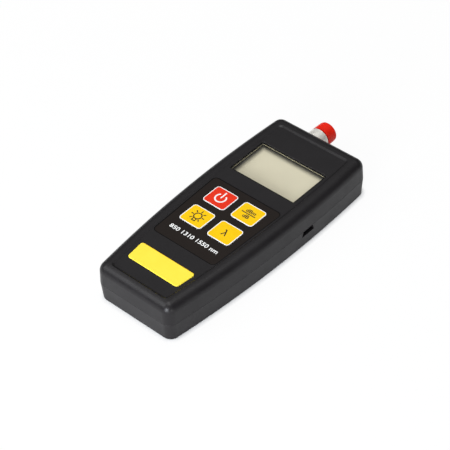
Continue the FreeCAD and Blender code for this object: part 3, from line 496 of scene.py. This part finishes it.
# Each line is a band: how far it reaches inside and outside its loop, and how far its foot and
# its crest lie from the loop's height.
# The line round the keypad and the ring round the window lens's gap are painted shade; the glint is a painted
# highlight of the lens's bevel.
KEYPAD_LINE = tuple(v * MM for v in (-0.30, 0.02, -0.02, 0.012))
WINDOW_GAP_SHADE = tuple(v * MM for v in (-0.42, 0.0, -0.02, 0.01))
WINDOW_GLINT = tuple(v * MM for v in (-0.54, -0.48, -0.62, -0.40))

# Two points of a mesh this near in height count as level.
LEVEL = 0.002 * MM

# Steps round each corner of the window's lines.
CORNER_STEPS = 6


def hull_half(spots):
    """One side of the convex hull of points in order of x."""
    chain = []
    for x, y in spots:
        while len(chain) > 1 and ((chain[-1][0] - chain[-2][0]) * (y - chain[-2][1])
                                  <= (chain[-1][1] - chain[-2][1]) * (x - chain[-2][0])):
            chain.pop()
        chain.append((x, y))
    return chain[:-1]


def top_rim(name):
    """The outline of a CAD node's flat top, anticlockwise, and its height."""
    points = [v.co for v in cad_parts[name].data.vertices]
    top = max(p.z for p in points)
    spots = sorted({(round(p.x, 6), round(p.y, 6)) for p in points if top - p.z < LEVEL})
    return [Vector(p) for p in hull_half(spots) + hull_half(spots[::-1])], top


def window_loop():
    """The outline of the window lens's raised middle, anticlockwise, and the height of its top."""
    low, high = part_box("window_lens")
    middle = (low + high) / 2
    inset = LENS_FLANGE + LENS_CORNER
    loop = []
    for quarter, (sx, sy) in enumerate(((1, 1), (-1, 1), (-1, -1), (1, -1))):
        for i in range(CORNER_STEPS + 1):
            angle = (quarter + i / CORNER_STEPS) * pi / 2
            loop.append(Vector((middle.x + sx * (high.x - middle.x - inset) + LENS_CORNER * cos(angle),
                                middle.y + sy * (high.y - middle.y - inset) + LENS_CORNER * sin(angle))))
    return loop, high.z


def hem(bm, outline, band):
    """A closed band along a loop."""
    loop, top = outline
    inner, outer, foot, crest = band
    rings = []
    for i, spot in enumerate(loop):
        along = (loop[(i + 1) % len(loop)] - loop[i - 1]).normalized()
        out = Vector((along.y, -along.x))
        rings.append([bm.verts.new((*(spot + out * reach), top + height)) for reach, height in
                      ((inner, foot), (outer, foot), (outer, crest), (inner, crest))])
    skin(bm, rings, True)


def keypad_shadow_line(bm):
    hem(bm, top_rim("keypad_sheet"), KEYPAD_LINE)


# Painted shade: a black ring on the lens's outer edge, where the gap round the lens lies in shadow.
def window_gap_shade(bm):
    hem(bm, window_loop(), WINDOW_GAP_SHADE)


# A painted glint: a pale gold band set into the lens, deep enough that only its far sides show, that stands
# in for the lens's bevel catching light.
def window_glint(bm):
    hem(bm, window_loop(), WINDOW_GLINT)


# Painted shade: the near-black look of the keypad's line and the window lens's gap.
painted_shade_look = satin("painted_shade_black", (0.0025, 0.0022, 0.0022), 0.6, 0.2, 1.0, Specular_IOR_Level=0.1)
# Painted glint: the pale gold look of the lens's bevel catching light.
glint = satin("edge_glint", (0.36, 0.32, 0.19), 0.35, 0.2, 2.0)
mesh_piece("keypad_shadow_line", keypad_shadow_line, painted_shade_look, "casing")
mesh_piece("window_gap_shade", window_gap_shade, painted_shade_look, "casing")
mesh_piece("window_glint", window_glint, glint, "casing")


# ---------------------------------------------------------------- the thread on the port's nose

THREAD_PITCH, THREAD_FOOT, THREAD_CREST = 0.75 * MM, 3.97 * MM, 4.11 * MM
# The thread's start and end, from the ring nut's face, and its width as a share of the pitch.
THREAD_START, THREAD_END, THREAD_WIDTH = 0.5 * MM, 3.0 * MM, 0.6
# Steps in a turn, and in the run-out at each end.
THREAD_STEPS, THREAD_FADE = 48, 24


def thread(bm):
    """A fine helical ridge round the nose, from the ring nut to the foot of the key slot."""
    ring_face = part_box("port_ring_nut")[1].y
    low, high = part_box("dust_cap")
    axis = Vector(((low.x + high.x) / 2, (low.z + high.z) / 2))
    start, end = ring_face + THREAD_START, ring_face + THREAD_END
    turns = (end - start) / THREAD_PITCH
    steps = int(turns * THREAD_STEPS)
    half = THREAD_PITCH * THREAD_WIDTH / 2
    rings = []
    for i in range(steps + 1):
        angle = tau * turns * i / steps
        y = start + (end - start) * i / steps
        fade = min(1.0, i / THREAD_FADE, (steps - i) / THREAD_FADE)
        section = ((THREAD_FOOT, -half), (THREAD_FOOT + (THREAD_CREST - THREAD_FOOT) * fade, 0.0),
                   (THREAD_FOOT, half))
        rings.append([bm.verts.new((axis.x + r * cos(angle), y + shift, axis.y + r * sin(angle)))
                      for r, shift in section])
    skin(bm, rings, False)


mesh_piece("port_thread", thread, nickel, "casing")


# ---------------------------------------------------------------- camera, stage and lights

AZIMUTH, ELEVATION, ROLL = radians(43.785), radians(43.378), radians(-2.909)
DISTANCE, LENS_MM, SENSOR_MM = 740.04 * MM, 128.0, 36.0
TARGET = Vector((5.13, -10.22, 20.4)) * MM

back = Vector((sin(AZIMUTH) * cos(ELEVATION), -cos(AZIMUTH) * cos(ELEVATION), sin(ELEVATION)))
level = Vector((cos(AZIMUTH), sin(AZIMUTH), 0))
upright = back.cross(level)
right = level * cos(ROLL) + upright * sin(ROLL)
up = upright * cos(ROLL) - level * sin(ROLL)
pose = Matrix((right, up, back)).transposed().to_4x4()
pose.translation = TARGET + back * DISTANCE
optics = bpy.data.cameras.new("camera")
optics.lens = LENS_MM
optics.sensor_width = SENSOR_MM
optics.clip_start, optics.clip_end = 0.01, 50.0
camera = bpy.data.objects.new("camera", optics)
camera.matrix_world = pose
bpy.context.collection.objects.link(camera)
bpy.context.scene.camera = camera


def in_view(tree, *rays):
    """1 for these kinds of ray, and 0 for the rest.

    A ray that has left a matt surface carries light, not a view, so it counts as one of the rest.
    """
    path = tree.nodes.new("ShaderNodeLightPath")
    seen = 0.0
    for ray in rays:
        seen = joined(tree, "MAXIMUM", path.outputs[ray], seen)
    return joined(tree, "MULTIPLY", seen, joined(tree, "LESS_THAN", path.outputs["Diffuse Depth"], 0.5))


def shown_white(tree, surface, share, *rays):
    """Shows white, in a share of its light, to some kinds of ray, and its own shade to the rest."""
    glow = tree.nodes.new("ShaderNodeEmission")
    glow.inputs["Color"].default_value = (1, 1, 1, 1)
    return blended(tree, joined(tree, "MULTIPLY", in_view(tree, *rays), share), surface, glow.outputs[0])


# The floor: a pale disc just under the model. The camera sees it almost pure white, glossy and
# clear surfaces see part of that white, and it darkens where the model stands on it.
FLOOR_RADIUS, FLOOR_DROP, FLOOR_GREY = 3.0, 0.05 * MM, 0.86
CONTACT_REACH, CONTACT_POWER = 2.5 * MM, 2.0
WHITE_IN_GLOSS, WHITE_IN_CAMERA = 0.3, 0.94

floor_mesh = bpy.data.meshes.new("floor")
bm = bmesh.new()
bmesh.ops.create_circle(bm, cap_ends=True, radius=FLOOR_RADIUS, segments=64)
bm.to_mesh(floor_mesh)
bm.free()
floor_material = bpy.data.materials.new("floor")
floor_material.use_nodes = True
floor_tree = floor_material.node_tree
floor_shader = floor_tree.nodes["Principled BSDF"]
floor_shader.inputs["Base Color"].default_value = (FLOOR_GREY, FLOOR_GREY, FLOOR_GREY, 1)
floor_shader.inputs["Roughness"].default_value = 0.9
floor_shader.inputs["Specular IOR Level"].default_value = 0.1
contact = floor_tree.nodes.new("ShaderNodeAmbientOcclusion")
contact.inputs["Distance"].default_value = CONTACT_REACH
open_floor = joined(floor_tree, "POWER", contact.outputs["AO"], CONTACT_POWER)
in_gloss = shown_white(floor_tree, floor_shader.outputs[0],
                       joined(floor_tree, "MULTIPLY", open_floor, WHITE_IN_GLOSS),
                       "Is Glossy Ray", "Is Transmission Ray")
from_above = shown_white(floor_tree, in_gloss, joined(floor_tree, "MULTIPLY", open_floor, WHITE_IN_CAMERA),
                         "Is Camera Ray")
# Seen from below, the floor is clear, so that the back of the casing shows.
from_below = floor_tree.nodes.new("ShaderNodeNewGeometry").outputs["Backfacing"]
clear_floor = floor_tree.nodes.new("ShaderNodeBsdfTransparent").outputs[0]
floor_tree.links.new(blended(floor_tree, from_below, from_above, clear_floor),
                     floor_tree.nodes["Material Output"].inputs["Surface"])
floor_mesh.materials.append(floor_material)
floor = bpy.data.objects.new("floor", floor_mesh)
floor.location.z = -FLOOR_DROP
bpy.context.collection.objects.link(floor)

# The studio: a white ceiling that fades to dim walls. Metal and glass show the ceiling at full
# strength; other surfaces get its light at a lower level.
SKY_WHITE, SKY_DIM, SKY_LIGHT = 1.0, 0.12, 0.6
# The way to the ceiling's middle. The sky brightens with how far a direction goes along that way,
# over this range, which ends past 1, so that even the middle stays a little under white.
SKY_WAY, SKY_FROM, SKY_TO = Vector((-0.12, 0.0, 0.99)).normalized(), 0.42, 1.08

world = bpy.data.worlds.new("world")
bpy.context.scene.world = world
world.use_nodes = True
sky_tree = world.node_tree
sky = sky_tree.nodes["Background"]
toward = sky_tree.nodes.new("ShaderNodeVectorMath")
toward.operation = "DOT_PRODUCT"
toward.inputs[1].default_value = SKY_WAY
studio = sky_tree.nodes.new("ShaderNodeMapRange")
studio.interpolation_type = "SMOOTHSTEP"
for key, number in (("From Min", SKY_FROM), ("From Max", SKY_TO), ("To Min", SKY_DIM), ("To Max", SKY_WHITE)):
    studio.inputs[key].default_value = number
sky_tree.links.new(sky_tree.nodes.new("ShaderNodeTexCoord").outputs["Generated"], toward.inputs[0])
sky_tree.links.new(toward.outputs["Value"], studio.inputs["Value"])
mirrored = in_view(sky_tree, "Is Glossy Ray", "Is Transmission Ray")
strength = joined(sky_tree, "ADD", joined(sky_tree, "MULTIPLY", mirrored, 1 - SKY_LIGHT), SKY_LIGHT)
sky_tree.links.new(joined(sky_tree, "MULTIPLY", studio.outputs["Result"], strength),
                   sky.inputs["Strength"])
sky.inputs["Color"].default_value = (1, 1, 1, 1)
sky_tree.links.new(shown_white(sky_tree, sky.outputs[0], 1.0, "Is Camera Ray"),
                   sky_tree.nodes["World Output"].inputs["Surface"])

# Rectangular lamps that look at the origin: direction, distance, width and height in metres,
# power in watts, colour.
LAMPS = {
    "key_light": ((-0.50, -0.58, 0.64), 1.4, 0.9, 0.9, 8, (0.96, 0.98, 1.0)),
    "front_light": ((0.30, -0.92, 0.24), 1.2, 0.55, 0.55, 19, (0.90, 0.94, 1.0)),
    "side_light": ((0.95, -0.35, 0.05), 1.3, 0.5, 0.5, 4, (1, 1, 1)),
    "top_light": ((0.0, 0.0, 1.0), 1.4, 0.9, 0.9, 8, (1, 1, 1)),
}
for name, (way, distance, width, height, power, colour) in LAMPS.items():
    light = bpy.data.lights.new(name, "AREA")
    light.shape = "RECTANGLE"
    light.size, light.size_y = width, height
    light.energy = power
    light.color = colour
    lamp = bpy.data.objects.new(name, light)
    direction = Vector(way).normalized()
    lamp.location = direction * distance
    lamp.rotation_euler = direction.to_track_quat("Z", "Y").to_euler()
    # The display behind the clear lens already gets lamp light straight through it.
    lamp.visible_transmission = False
    bpy.context.collection.objects.link(lamp)

bpy.context.scene.view_settings.view_transform = "Standard"
